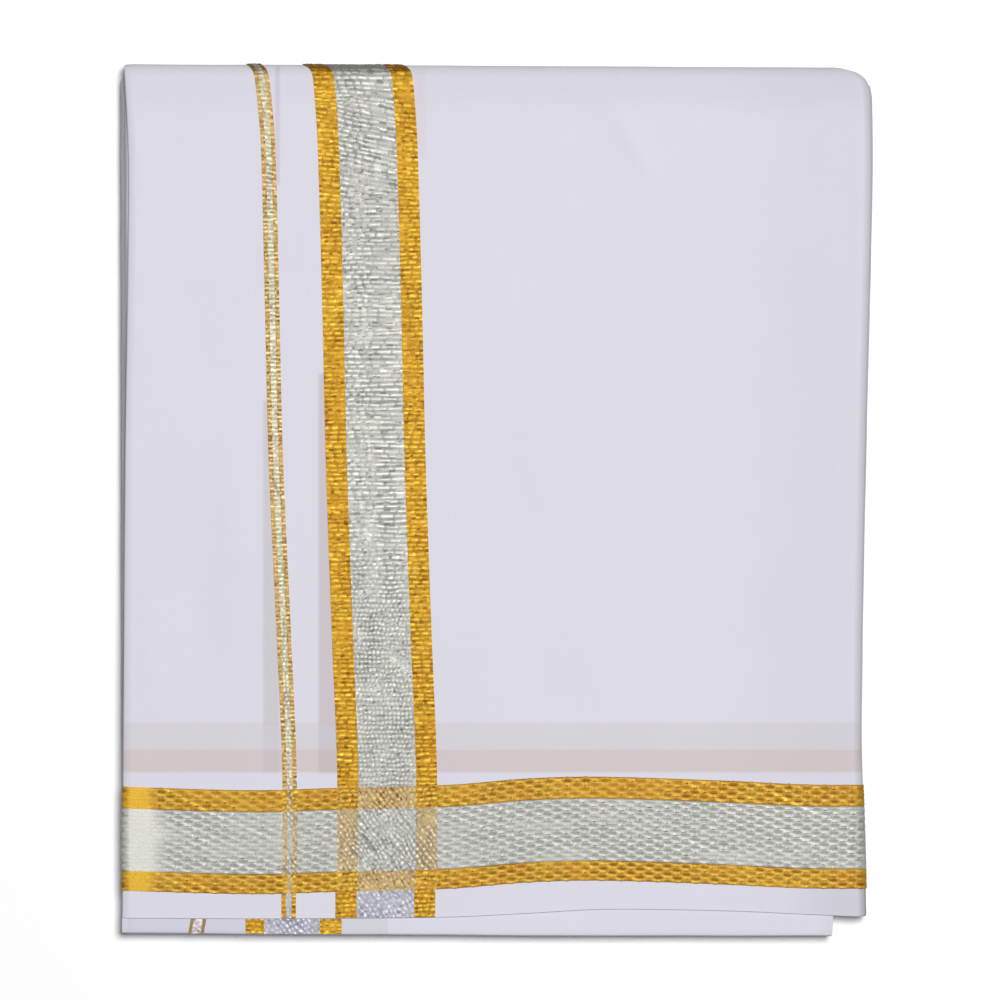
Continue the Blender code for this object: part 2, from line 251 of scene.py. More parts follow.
def even_steps(start, end, count):
    return [start + (end - start) * i / count for i in range(count + 1)]


def finish_piece(name, shape, material):
    """The bmesh as a smooth-shaded piece that rides on the packet and takes its finish from a slot."""
    mesh = bpy.data.meshes.new(name)
    shape.to_mesh(mesh)
    shape.free()
    mesh.materials.append(material)
    mesh.shade_smooth()
    piece = bpy.data.objects.new(name, mesh)
    bpy.context.scene.collection.objects.link(piece)
    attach(piece, "root")
    return piece


def laid_grid(columns, rows, lay, values=("tone", "pale")):
    """A grid laid by lay(column, row), which gives a point, its place on the flat cloth and its values."""
    grid = bmesh.new()
    bmesh.ops.create_grid(grid, x_segments=columns, y_segments=rows, size=0.5)
    flat_place = grid.loops.layers.uv.new("flat_cloth")
    layers = [grid.verts.layers.float.new(value) for value in values]
    for vertex in grid.verts:
        column = round((vertex.co.x + 0.5) * columns)
        row = round((vertex.co.y + 0.5) * rows)
        vertex.co, place, *amounts = lay(column, row)
        for layer, amount in zip(layers, amounts):
            vertex[layer] = amount
        for loop in vertex.link_loops:
            loop[flat_place].uv = place
    for edge in grid.edges:
        edge.smooth = not edge.is_boundary
    return grid


def thicken(piece, thickness):
    wall = piece.modifiers.new("wall", "SOLIDIFY")
    wall.thickness = thickness
    wall.offset = -1.0


def add_node(tree, kind, inputs=(), **settings):
    """A node with its settings made, and its inputs given values or linked to other nodes' outputs."""
    made = tree.nodes.new(kind)
    for name, value in settings.items():
        setattr(made, name, value)
    for socket, value in dict(inputs).items():
        if isinstance(value, bpy.types.NodeSocket):
            tree.links.new(value, made.inputs[socket])
        else:
            made.inputs[socket].default_value = value
    return made


def maths(tree, operation, *values):
    return add_node(tree, "ShaderNodeMath", enumerate(values), operation=operation).outputs[0]


def blend_colours(tree, share, first, second, kind="MIX"):
    inputs = {0: share, 6: first, 7: second}
    return add_node(tree, "ShaderNodeMix", inputs, data_type="RGBA", blend_type=kind).outputs[2]


def new_group(name, inputs, outputs):
    """An empty node group with its sockets, and its input and output nodes."""
    group = bpy.data.node_groups.new(name, "ShaderNodeTree")
    for socket, kind in inputs:
        group.interface.new_socket(socket, in_out="INPUT", socket_type=f"NodeSocket{kind}")
    for socket, kind in outputs:
        group.interface.new_socket(socket, in_out="OUTPUT", socket_type=f"NodeSocket{kind}")
    return group, group.nodes.new("NodeGroupInput").outputs, group.nodes.new("NodeGroupOutput").inputs


def use_group(tree, group, inputs):
    return add_node(tree, "ShaderNodeGroup", inputs, node_tree=group).outputs


# Slubs in a thread: how many in a metre, along it and across it
SLUB_LENGTHS, SLUB_WIDTHS = 60.0, 2400.0


def plain_weave():
    """Over-and-under threads with slubs, from a place on the flat cloth in metres."""
    group, given, result = new_group(
        "plain_weave", [("Place", "Vector"), ("Thread pitch", "Float")],
        [("Height", "Float"), ("Slub", "Float")])
    turns = maths(group, "DIVIDE", math.pi, given["Thread pitch"])
    scaled = add_node(group, "ShaderNodeVectorMath", {0: given["Place"], "Scale": turns}, operation="SCALE")
    split = add_node(group, "ShaderNodeSeparateXYZ", {0: scaled.outputs[0]})
    warp = maths(group, "SINE", split.outputs[0])
    weft = maths(group, "SINE", split.outputs[1])
    crossing = maths(group, "MULTIPLY", warp, weft)
    group.links.new(maths(group, "MULTIPLY_ADD", crossing, 0.5, 0.5), result["Height"])
    slubs = []
    for stretch in ((SLUB_LENGTHS, SLUB_WIDTHS, 1.0), (SLUB_WIDTHS, SLUB_LENGTHS, 1.0)):
        along = add_node(
            group, "ShaderNodeVectorMath", {0: given["Place"], 1: stretch}, operation="MULTIPLY")
        texture = add_node(group, "ShaderNodeTexNoise", {"Vector": along.outputs[0], "Scale": 1.0})
        slubs.append(texture.outputs["Fac"])
    group.links.new(maths(group, "ADD", *slubs), result["Slub"])
    return group


def shown_through():
    """A soft-edged oblong on the flat cloth: 1 inside, 0 outside, from its four sides in metres."""
    sides = [("From x", "Float"), ("To x", "Float"), ("From y", "Float"), ("To y", "Float")]
    group, given, result = new_group(
        "shown_through", [("Place", "Vector"), *sides, ("Softness", "Float")], [("Mask", "Float")])
    split = add_node(group, "ShaderNodeSeparateXYZ", {0: given["Place"]})
    parts = []
    for axis, low, high in ((0, "From x", "To x"), (1, "From y", "To y")):
        for side, sign in ((low, 1.0), (high, -1.0)):
            past = maths(group, "SUBTRACT", split.outputs[axis], given[side])
            share = maths(group, "DIVIDE", maths(group, "MULTIPLY", past, sign), given["Softness"])
            ramp = {"Value": share, "From Min": -0.5, "From Max": 0.5}
            parts.append(add_node(
                group, "ShaderNodeMapRange", ramp, interpolation_type="SMOOTHSTEP").outputs[0])
    product = maths(group, "MULTIPLY", parts[0], parts[1])
    product = maths(group, "MULTIPLY", product, parts[2])
    group.links.new(maths(group, "MULTIPLY", product, parts[3]), result["Mask"])
    return group


PLAIN_WEAVE = plain_weave()
SHOWN_THROUGH = shown_through()
THREAD_PITCH = 0.38 * MM
COTTON_TINTS = ((0.618, 0.610, 0.690, 1.0), (0.646, 0.639, 0.710, 1.0))
COTTON_SHADE = (0.17, 0.17, 0.17, 1.0)
WEAVE_BUMP = 0.05 * MM

# The border and bands of the layer below, which show faintly through the skin
Shadow = namedtuple("Shadow", "x1 x2 y1 y2 softness tint")
SHADOWS = (
    Shadow(-140.0, 132.5, -90.0, -80.6, 1.2, (0.948, 0.918, 0.892, 1.0)),
    Shadow(-140.0, 132.5, -98.7, -90.3, 1.6, (0.914, 0.825, 0.755, 1.0)),
    Shadow(-84.8, -79.0, -81.0, 36.0, 1.5, (0.872, 0.850, 0.808, 1.0)),
    Shadow(-84.8, -79.0, -99.0, -81.0, 1.5, (0.930, 0.930, 0.940, 1.0)),
    Shadow(-64.7, -58.0, -81.0, 46.0, 1.5, (0.865, 0.790, 0.758, 1.0)),
    Shadow(-64.7, -58.0, -99.0, -81.0, 1.5, (0.890, 0.880, 0.880, 1.0)),
    Shadow(-80.4, -78.8, 114.0, 158.0, 1.0, (0.890, 0.850, 0.860, 1.0)),
    Shadow(-29.8, -26.0, 124.0, 156.0, 3.0, (0.990, 0.940, 0.930, 1.0)),
)


def cotton_material(name, shadows):
    material = bpy.data.materials.new(name)
    material.use_nodes = True
    tree = material.node_tree
    shader = tree.nodes["Principled BSDF"]
    place = add_node(tree, "ShaderNodeUVMap", uv_map="flat_cloth").outputs[0]
    weave = use_group(tree, PLAIN_WEAVE, {"Place": place, "Thread pitch": THREAD_PITCH})
    patches = add_node(tree, "ShaderNodeTexNoise", {"Vector": place, "Scale": 16.0, "Detail": 3.0})
    colour = blend_colours(tree, patches.outputs["Fac"], *COTTON_TINTS)
    grain = add_node(tree, "ShaderNodeMapRange", {
        "Value": weave["Slub"], "From Min": 0.6, "From Max": 1.4, "To Min": 0.984, "To Max": 1.016})
    colour = blend_colours(tree, 1.0, colour, grain.outputs[0], "MULTIPLY")
    # Painted shade: the cotton is blended towards COTTON_SHADE by each point's painted shade, at the side
    # folds, the leaves' rims, the top turn and the low right corner
    painted_shade = add_node(tree, "ShaderNodeAttribute", attribute_name="painted_shade").outputs["Fac"]
    colour = blend_colours(tree, painted_shade, colour, COTTON_SHADE)
    for shadow in shadows:
        mask = use_group(tree, SHOWN_THROUGH, {
            "Place": place, "From x": shadow.x1 * MM, "To x": shadow.x2 * MM,
            "From y": shadow.y1 * MM, "To y": shadow.y2 * MM, "Softness": shadow.softness * MM})
        tinted = blend_colours(tree, 1.0, colour, shadow.tint, "MULTIPLY")
        colour = blend_colours(tree, mask["Mask"], colour, tinted)
    tree.links.new(colour, shader.inputs["Base Color"])
    height = maths(tree, "ADD", weave["Height"], maths(tree, "MULTIPLY", weave["Slub"], 0.8))
    bump = add_node(tree, "ShaderNodeBump", {"Height": height, "Strength": 0.35, "Distance": WEAVE_BUMP})
    tree.links.new(bump.outputs[0], shader.inputs["Normal"])
    rough = add_node(tree, "ShaderNodeMapRange", {"Value": weave["Height"], "To Min": 0.92, "To Max": 0.78})
    tree.links.new(rough.outputs[0], shader.inputs["Roughness"])
    shader.inputs["Sheen Weight"].default_value = 0.12
    shader.inputs["Sheen Roughness"].default_value = 0.5
    shader.inputs["Specular IOR Level"].default_value = 0.25
    return material


SKIN_THICKNESS = 0.35 * MM
SKIN_BACK_END = 0.9 * MM
ROLL_RADIUS = 0.65 * MM
ROLL_COLUMNS, TUCK_COLUMNS, FLAT_COLUMNS = 5, 2, 110
TUCK_LENGTH = 3.2 * MM
SIDE_LENGTH = math.pi * ROLL_RADIUS + TUCK_LENGTH
SKIN_COLUMNS = FLAT_COLUMNS + 2 * (ROLL_COLUMNS + TUCK_COLUMNS)
FRONT_CORNER = 1.2 * MM
RIGHT_SHOULDER_WIDTH, RIGHT_SHOULDER_DROP = 3.4 * MM, 1.0 * MM
LEFT_SHOULDER_WIDTH, LEFT_SHOULDER_DROP = 2.6 * MM, 0.30 * MM
# Widths of the painted shade by the right fold, on its rim, by the left fold and down from the top turn;
# then where the low right corner and the right side take painted shade
RIGHT_GREY, RIGHT_RIM, LEFT_GREY, TOP_GREY = 3.0 * MM, 1.2 * MM, 2.4 * MM, 14 * MM
LOW_CORNER_X, LOW_CORNER_WIDTH = 100 * MM, 28 * MM
LOW_CORNER_Y, LOW_CORNER_HEIGHT = -116 * MM, 18 * MM
RIGHT_SHADE_X, RIGHT_SHADE_WIDTH = 70 * MM, 50 * MM
HEM_ROWS, SKIN_FRONT_ROWS, SKIN_TURN_ROWS, SKIN_BACK_ROWS = 5, 132, 18, 92


def rolled_under(past, lift=0.0):
    """How far in from a side fold and how deep a point lies, at a distance past the start of the roll."""
    turn = past / ROLL_RADIUS
    radius = ROLL_RADIUS + lift
    if turn < math.pi:
        return ROLL_RADIUS - radius * math.sin(turn), ROLL_RADIUS - radius * math.cos(turn)
    return ROLL_RADIUS + past - math.pi * ROLL_RADIUS, ROLL_RADIUS + radius


def side_steps():
    roll = even_steps(0.0, math.pi * ROLL_RADIUS, ROLL_COLUMNS)
    tuck = even_steps(math.pi * ROLL_RADIUS, SIDE_LENGTH, TUCK_COLUMNS)
    return [*roll, *tuck[1:]]


@functools.cache
def skin_sides(travel):
    """Where the skin's left and right folds are, at a travel along it."""
    left = left_edge(travel) + read_smooth(EDGE_ROWS, "skin_left", skin_y(travel))
    return left, right_edge(travel) - read_smooth(EDGE_ROWS, "skin_right", skin_y(travel))


def skin_travels(x):
    foot = front_end(x)
    hem = even_steps(foot, foot + FRONT_CORNER, HEM_ROWS)
    front = [*hem, *even_steps(foot + FRONT_CORNER, TURN_Y, SKIN_FRONT_ROWS)[1:]]
    turn = even_steps(TURN_Y, BACK_START, SKIN_TURN_ROWS)
    return [*front, *turn[1:], *even_steps(BACK_START, back_end(x, SKIN_BACK_END), SKIN_BACK_ROWS)[1:]]


def shoulder(x, left, right):
    """How far the skin drops as it nears its side folds."""
    near_right = max(1.0 - (right - x) / RIGHT_SHOULDER_WIDTH, 0.0) ** 2
    near_left = max(1.0 - (x - left) / LEFT_SHOULDER_WIDTH, 0.0) ** 2
    return RIGHT_SHOULDER_DROP * near_right + LEFT_SHOULDER_DROP * near_left


def skin_painted_shade(x, travel, left, right):
    """How much painted shade the skin takes: by its side folds, over the top turn and just before it, a
    little towards the right, and at the low right corner.
    """
    share = (x - left) / (right - left)
    low_corner = smooth_step((x - LOW_CORNER_X) / LOW_CORNER_WIDTH)
    low_corner *= smooth_step((LOW_CORNER_Y - travel) / LOW_CORNER_HEIGHT)
    side = 0.16 * smooth_step(1.0 - (x - left) / LEFT_GREY)
    side += 0.30 * smooth_step(1.0 - (right - x) / RIGHT_GREY)
    side += (0.20 + 0.30 * low_corner) * smooth_step(1.0 - (right - x) / RIGHT_RIM)
    turned = (travel - TURN_Y) / TURN_LENGTH
    over = 0.08 * smooth_step(turned / 0.2) + 0.34 * smooth_step((turned - 0.30) / 0.14)
    over += 0.10 * (0.4 + 0.6 * share) * smooth_step(1.0 + (travel - TURN_Y) / TOP_GREY)
    over *= (1.0 - smooth_step((turned - 0.56) / 0.2)) * (1.0 - 0.2 * share)
    shade = 0.05 * smooth_step((x - RIGHT_SHADE_X) / RIGHT_SHADE_WIDTH) + 0.13 * low_corner
    return max(side, over) + shade * (1.0 - smooth_step(turned))


SIDE_STEPS = side_steps()
MIDDLE_TRAVELS = skin_travels(0.0)


@functools.cache
def travels_at(x):
    return skin_travels(x)


def lay_skin(column, row):
    travel = MIDDLE_TRAVELS[row]
    left, right = skin_sides(travel)
    to_corner = min(max(MIDDLE_TRAVELS[0] + FRONT_CORNER - travel, 0.0), FRONT_CORNER)
    right -= FRONT_CORNER - math.sqrt(FRONT_CORNER ** 2 - to_corner ** 2)
    side_columns = ROLL_COLUMNS + TUCK_COLUMNS
    past_left, past_right = side_columns - column, column - side_columns - FLAT_COLUMNS
    flat_left, flat_right = left + ROLL_RADIUS, right - ROLL_RADIUS
    if past_left > 0:
        inward, depth = rolled_under(SIDE_STEPS[past_left])
        x, place_x = left + inward, flat_left - SIDE_STEPS[past_left]
    elif past_right > 0:
        inward, depth = rolled_under(SIDE_STEPS[past_right])
        x, place_x = right - inward, flat_right + SIDE_STEPS[past_right]
    else:
        x, depth = flat_left + (flat_right - flat_left) * -past_left / FLAT_COLUMNS, 0.0
        place_x = x
    station = flat_left + (flat_right - flat_left) * min(max(-past_left / FLAT_COLUMNS, 0.0), 1.0)
    travel = travels_at(station)[row]
    depth += shoulder(station, left, right)
    return packet_point(x, travel, depth), (place_x, travel), skin_painted_shade(x, travel, left, right)


skin_cotton = cotton_material("skin_cotton", SHADOWS)
skin_shape = laid_grid(SKIN_COLUMNS, len(MIDDLE_TRAVELS) - 1, lay_skin, values=["painted_shade"])
cotton_skin = finish_piece("cotton_skin", skin_shape, skin_cotton)
thicken(cotton_skin, SKIN_THICKNESS)
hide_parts("front_stretch", "top_turn", "back_stretch")

# ---- Inner folds ---------------------------------------------------------------------------------
# The rest of the length, pleated and lying in leaves under the skin: the same cotton, folded by hand.
# Only the leaves' rounded edges show, at the two sides, and the lap that reaches out below the front run.
LEAVES = 8
FOLDS_TOP = 1.75 * MM
FOLDS_TOP_MIDDLE = 0.42 * MM
FOLDS_BOTTOM = 6.70 * MM
TUCK_ROOM = 6.5 * MM
GROOVE_DEPTH = 1.1 * MM
LEAF_ARC = ((0.0, 1.0), (0.07, 0.26), (0.22, 0.05), (0.5, 0.0), (0.78, 0.05), (0.93, 0.26))
FOLD_COLUMNS = 64
FOLD_ROWS = (72, 14, 60)
LAP_GAP, LAP_LEAN, LAP_DROP = 0.06 * MM, 0.12 * MM, 0.45 * MM
LAP_ROWS = 8
DEEPEST_SINK_SHARE = 0.25

# How far the leaves stay back from the packet's four sides, from the skin down to the middle leaf
FlareRow = namedtuple("FlareRow", "down left right front back")
FLARE_ROWS = (
    FlareRow(0.0, 1.75, 0.75, 0.30, 1.35),
    FlareRow(0.35, 1.05, 0.40, 0.30, 0.55),
    FlareRow(0.7, 0.40, 0.15, 0.30, 0.10),
    FlareRow(1.0, 0.0, 0.0, 0.30, 0.45),
)
LEAF_WANDER = 0.16 * MM
# Painted shade on the leaves' side rims and in the grooves between them, fading out towards the foot of the
# packet
RIM_SHADE, GROOVE_SHADE = 0.44, 0.40
RIM_SHADE_FOOT, RIM_SHADE_LENGTH = -150 * MM, 70 * MM


def fold_rings():
    """Down the rim of the folds: each ring's leaf, its share of the depth and its depth in a groove."""
    rings = []
    for leaf in range(LEAVES):
        for down, inward in LEAF_ARC:
            rings.append((leaf, (leaf + down) / LEAVES, inward * GROOVE_DEPTH))
    return [*rings, (LEAVES - 1, 1.0, GROOVE_DEPTH)]


FOLD_RINGS = fold_rings()


@functools.cache
def fold_travels(x, front_back, end_back):
    front = even_steps(front_end(x) + front_back, TURN_Y, FOLD_ROWS[0])
    turn = even_steps(TURN_Y, BACK_START, FOLD_ROWS[1])
    lap = BACK_START + TURN_Y - front_end(x) + LAP_GAP
    back = even_steps(BACK_START, lap, FOLD_ROWS[2])[1:]
    return [*front, *turn[1:], *back, *even_steps(lap + LAP_LEAN, back_end(x, end_back), LAP_ROWS)]


def lap_depth(x, y):
    """How far the lap's top lies above the surface under the packet: just below the front skin's level."""
    return 2 * TURN_RADIUS - sink(x, y) - LAP_DROP


def fold_place(ring, column, row):
    """The point of the folds at one ring, and its place on the flat cloth."""
    leaf, down, groove = FOLD_RINGS[ring]
    first = MIDDLE_FOLD_TRAVELS[row]
    flare = {side: read_smooth(FLARE_ROWS, side, down * MM) + groove for side in FlareRow._fields[1:]}
    left = left_edge(first) + flare["left"] + LEAF_WANDER * ripple(first, leaf * 9.0, 21 * MM, 1.3)
    right = right_edge(first) - flare["right"] - LEAF_WANDER * ripple(first, leaf * 7.0, 24 * MM, 4.9)
    x = left + (right - left) * column / FOLD_COLUMNS
    front_back = flare["front"] + LEAF_WANDER * ripple(x, leaf * 5.0, 30 * MM, 6.2)
    end_back = flare["back"] + LEAF_WANDER * ripple(x, leaf * 3.0, 26 * MM, 9.5)
    travel = fold_travels(x, front_back, end_back)[row]
    from_side = min(x - left, right - x)
    top = FOLDS_TOP + (FOLDS_TOP_MIDDLE - FOLDS_TOP) * smooth_step(from_side / TUCK_ROOM)
    top += shoulder(x, *skin_sides(first)) * (1.0 - down)
    bottom = lap_depth(x, skin_y(travel)) if row >= sum(FOLD_ROWS) + 1 else FOLDS_BOTTOM
    share = 1.0 - (1.0 - DEEPEST_SINK_SHARE) * down
    return packet_point(x, travel, top + (bottom - top) * down, share), x, travel


MIDDLE_FOLD_TRAVELS = fold_travels(0.0, 0.0, 0.0)


def build_folds():
    rows = len(MIDDLE_FOLD_TRAVELS) - 1
    last = len(FOLD_RINGS) - 1
    stack = bmesh.new()
    bmesh.ops.create_grid(stack, x_segments=FOLD_COLUMNS, y_segments=rows, size=0.5)
    rim = [edge for edge in stack.edges if edge.is_boundary]
    for _ in range(last):
        grown = bmesh.ops.extrude_edge_only(stack, edges=rim)["geom"]
        corners = [item for item in grown if isinstance(item, bmesh.types.BMVert)]
        bmesh.ops.translate(stack, verts=corners, vec=(0.0, 0.0, -1.0))
        rim = [item for item in grown if isinstance(item, bmesh.types.BMEdge) and item.is_boundary]
    lowest = Matrix.Translation((0.0, 0.0, -last))
    bmesh.ops.create_grid(stack, x_segments=FOLD_COLUMNS, y_segments=rows, size=0.5, matrix=lowest)
    bmesh.ops.remove_doubles(stack, verts=stack.verts, dist=0.001)
    bmesh.ops.recalc_face_normals(stack, faces=stack.faces)
    flat_place = stack.loops.layers.uv.new("flat_cloth")
    painted_shade = stack.verts.layers.float.new("painted_shade")
    leaf_step = (FOLDS_BOTTOM - FOLDS_TOP) / last * 1.6
    for vertex in stack.verts:
        column = round((vertex.co.x + 0.5) * FOLD_COLUMNS)
        row = round((vertex.co.y + 0.5) * rows)
        ring = round(-vertex.co.z)
        vertex.co, x, travel = fold_place(ring, column, row)
        spread_x = leaf_step * ring * ((column == FOLD_COLUMNS) - (column == 0))
        spread_y = leaf_step * ring * ((row == rows) - (row == 0))
        if spread_x:
            # On the side rims the leaves take painted shade, deeper in the grooves and fading out towards
            # the foot
            _, down, groove = FOLD_RINGS[ring]
            rim_shade_fade = 0.15 + 0.85 * smooth_step((skin_y(travel) - RIM_SHADE_FOOT) / RIM_SHADE_LENGTH)
            in_groove = GROOVE_SHADE * groove / GROOVE_DEPTH
            vertex[painted_shade] = rim_shade_fade * (RIM_SHADE * (1.4 - down) + in_groove)
        for loop in vertex.link_loops:
            loop[flat_place].uv = (x + spread_x, travel + spread_y)
    return stack


# On the lap the cotton is painted a little darker at the left, painted shade below the front run, and the
# leaves below show through a little beside the tails of their bands
FOLD_SHADOWS = (
    Shadow(-140.0, -56.5, 440.0, 520.0, 2.0, (0.900, 0.905, 0.945, 1.0)),
    Shadow(-56.4, -39.6, 440.0, 520.0, 0.6, (0.915, 0.925, 0.905, 1.0)),
)
fold_cotton = cotton_material("fold_cotton", FOLD_SHADOWS)
fold_leaves = finish_piece("fold_leaves", build_folds(), fold_cotton)
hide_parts("inner_folds")

# ---- Selvedge border -----------------------------------------------------------------------------
# Zari woven along the selvedge: silver between two golds. Its cords sway apart and together, which leaves
# small lens-shaped openings in staggered rows. It lies across the whole front run and rolls over its sides.
LOW_GOLD, SELVEDGE_SILVER, HIGH_GOLD = 7.2 * MM, 22.6 * MM, 7.9 * MM
BORDER_FOOT = -SELVEDGE_SILVER / 2 - LOW_GOLD
BORDER_HEAD = SELVEDGE_SILVER / 2 + HIGH_GOLD
BAND_LIFT = 0.17 * MM
BAND_THICKNESS = 0.13 * MM
CORD_HEIGHT = 0.34 * MM
CORD_SWAY = 0.30
WAVE_LENGTH = 6.7 * MM
GOLD_CORDS, SILVER_CORDS = 5, 16
CORD_STEP, CROSSING_STEP = 0.55 * MM, 0.38 * MM
SIDE_WRAP = 1.3 * MM
# How dark the openings are painted where the cords part, by thread: painted shade
PARTED_DARKNESS = {"gold_zari": 0.45, "silver_zari": 0.265}

# At its left end, but for the outermost few millimetres, the pattern is flattened and painted lighter: a
# painted highlight of the glare near the side fold
FADED_END = 8.2 * MM
FADE_LENGTH = 14.0 * MM
OUTER_LENGTH = 4.2 * MM

# At its right end, where it rolls over the side fold, the border is painted a little darker: painted shade
RIGHT_END_SHADE = 9 * MM

# The end band and the stripe that cross the border: their strips' widths, and their ribs
END_GOLD = 7.65 * MM
END_SILVER = 20.9 * MM
STRIPE_GOLD = 1.6 * MM
STRIPE_SILVER = 2.0 * MM
RIB_PITCH = 1.7 * MM
RIB_HEIGHT = 0.30 * MM
GOLD_FIRM = 0.53
CROSSING_RUN = 2.4 * MM

# The middle lines of the end band and the stripe, up the front
BandRow = namedtuple("BandRow", "y end_band stripe")
BAND_ROWS = (
    BandRow(-158.4, -40.5, -75.6),
    BandRow(-102.0, -39.8, -75.2),
    BandRow(-51.0, -41.7, -77.2),
    BandRow(15.0, -44.0, -80.2),
    BandRow(73.0, -45.3, -81.6),
    BandRow(128.0, -46.9, -83.0),
    BandRow(144.0, -47.9, -84.3),
    BandRow(152.0, -48.7, -85.3),
    BandRow(155.4, -50.0, -86.6),
    BandRow(158.4, -54.0, -89.5),
)


border_middle = functools.partial(read_smooth, BORDER_ROWS, "middle")
end_band_middle = functools.partial(read_smooth, BAND_ROWS, "end_band")
stripe_middle = functools.partial(read_smooth, BAND_ROWS, "stripe")
STRAND_PITCH = 0.36 * MM
STRAND_BUMP = 0.06 * MM


def zari_material(name, dark, middle, bright, pale):
    """Metal-wrapped thread: its tone runs from dark hollows to bright crests, as painted shade and painted
    highlight, with faint painted shade between its strands and random flecks.
    """
    material = bpy.data.materials.new(name)
    material.use_nodes = True
    tree = material.node_tree
    shader = tree.nodes["Principled BSDF"]
    place = add_node(tree, "ShaderNodeUVMap", uv_map="flat_cloth").outputs[0]
    tone = add_node(tree, "ShaderNodeAttribute", attribute_name="tone").outputs["Fac"]
    paleness = add_node(tree, "ShaderNodeAttribute", attribute_name="pale").outputs["Fac"]
    split = add_node(tree, "ShaderNodeSeparateXYZ", {0: place})
    strand = maths(tree, "SINE", maths(tree, "MULTIPLY", split.outputs[1], 2 * math.pi / STRAND_PITCH))
    sparkle = add_node(tree, "ShaderNodeTexNoise", {"Vector": place, "Scale": 1900.0, "Detail": 2.0})
    fleck = maths(tree, "MULTIPLY_ADD", sparkle.outputs["Fac"], 0.5, -0.25)
    tone = maths(tree, "ADD", tone, maths(tree, "MULTIPLY_ADD", strand, 0.04, fleck))
    low = add_node(tree, "ShaderNodeMapRange", {"Value": tone, "From Min": 0.0, "From Max": 0.5})
    high = add_node(tree, "ShaderNodeMapRange", {"Value": tone, "From Min": 0.5, "From Max": 1.0})
    drift = add_node(tree, "ShaderNodeTexNoise", {"Vector": place, "Scale": 90.0, "Detail": 1.0})
    share = add_node(
        tree, "ShaderNodeMapRange", {"Value": drift.outputs["Fac"], "From Min": 0.35, "From Max": 0.65})
    warm = blend_colours(tree, share.outputs[0], middle[0], middle[1])
    warm = blend_colours(tree, paleness, warm, pale)
    colour = blend_colours(tree, low.outputs[0], dark, warm)
    colour = blend_colours(tree, high.outputs[0], colour, bright)
    tree.links.new(colour, shader.inputs["Base Color"])
    rough = add_node(tree, "ShaderNodeMapRange", {"Value": tone, "To Min": 0.66, "To Max": 0.46})
    tree.links.new(rough.outputs[0], shader.inputs["Roughness"])
    height = maths(tree, "MULTIPLY_ADD", strand, 0.3, sparkle.outputs["Fac"])
    bump = add_node(tree, "ShaderNodeBump", {"Height": height, "Strength": 0.4, "Distance": STRAND_BUMP})
    tree.links.new(bump.outputs[0], shader.inputs["Normal"])
    shader.inputs["Metallic"].default_value = 0.3
    shader.inputs["Specular IOR Level"].default_value = 0.2
    return material


PALE_GOLD = (0.44, 0.33, 0.165, 1.0)
ZARI = {
    "gold_zari": zari_material(
        "gold_zari_thread", (0.17, 0.070, 0.003, 1.0),
        ((0.450, 0.216, 0.005, 1.0), (0.462, 0.254, 0.010, 1.0)), (0.76, 0.51, 0.058, 1.0), PALE_GOLD),
    "silver_zari": zari_material(
        "silver_zari_thread", (0.175, 0.175, 0.16, 1.0),
        ((0.408, 0.402, 0.376, 1.0), (0.396, 0.406, 0.372, 1.0)), (0.70, 0.70, 0.65, 1.0),
        (0.44, 0.315, 0.142, 1.0)),
}


def chance(*cell):
    """A fixed number from 0 to 1 for each cell of a pattern."""
    first, second, third = (*cell, 0, 0)[:3]
    return 0.5 + 0.5 * noise.cell(Vector((first + 0.5, second + 0.5, third + 0.5)))


def speck(luck):
    """Now and then a thread catches the light or leaves a hole."""
    if luck > 0.95:
        return 0.26
    if luck < 0.08:
        return -0.32
    return 0.14 * (luck - 0.5)


def packed_ribs(across, along, seed, run, pitch=RIB_PITCH, firm=0.55, sway=0.42):
    """Weft ribs that close up, part and break off into pieces of about a run's length: height and tone,
    with painted shade in the hollows and at broken ends and painted highlights on the crests.
    """
    warp = noise.noise(Vector((across / (3 * run), along / (3.0 * MM), seed)))
    phase = along / pitch + sway * warp
    rib = math.floor(phase)
    reach = across / run + 7.0 * chance(rib, seed)
    piece = math.floor(reach)
    broken = 1.0 - smooth_step(min(reach - piece, piece + 1.0 - reach) * run / (0.6 * MM))
    luck = chance(rib, piece, seed)
    near = noise.noise(Vector((across / (0.6 * run), along / (1.1 * MM), seed + 4.2)))
    wide = noise.noise(Vector((across / (8 * MM), along / (11 * MM), seed + 8.1)))
    strength = min(max(firm + 0.65 * near + 0.8 * wide + 0.3 * (luck - 0.2), 0.05), 1.15)
    crest = (0.5 - 0.5 * math.cos(2 * math.pi * phase)) ** 0.65 * (1.0 - 0.75 * broken)
    grain = chance(math.floor(across / (0.45 * run)), math.floor(along / (0.5 * MM)), seed)
    tone = 0.52 + strength * 0.70 * (crest - 0.57) + 0.15 * (luck - 0.5) + speck(grain)
    return 0.5 + strength * (crest - 0.5), tone


def slant_floats(x, across, seed):
    """Short floats that lean like a backslash and break off unevenly: their height and tone at a point."""
    lean = math.radians(54)
    along = x * math.cos(lean) - across * math.sin(lean)
    beside = x * math.sin(lean) + across * math.cos(lean)
    height, tone = packed_ribs(along, beside, seed, 1.9 * MM, 1.55 * MM, firm=0.50, sway=0.95)
    return height, tone - 0.05


CROSSING_Y = -123.0 * MM
CROSSING_BANDS = ((end_band_middle, END_GOLD, END_SILVER), (stripe_middle, STRIPE_GOLD, STRIPE_SILVER))
CROSSING_EDGE = 0.3 * MM


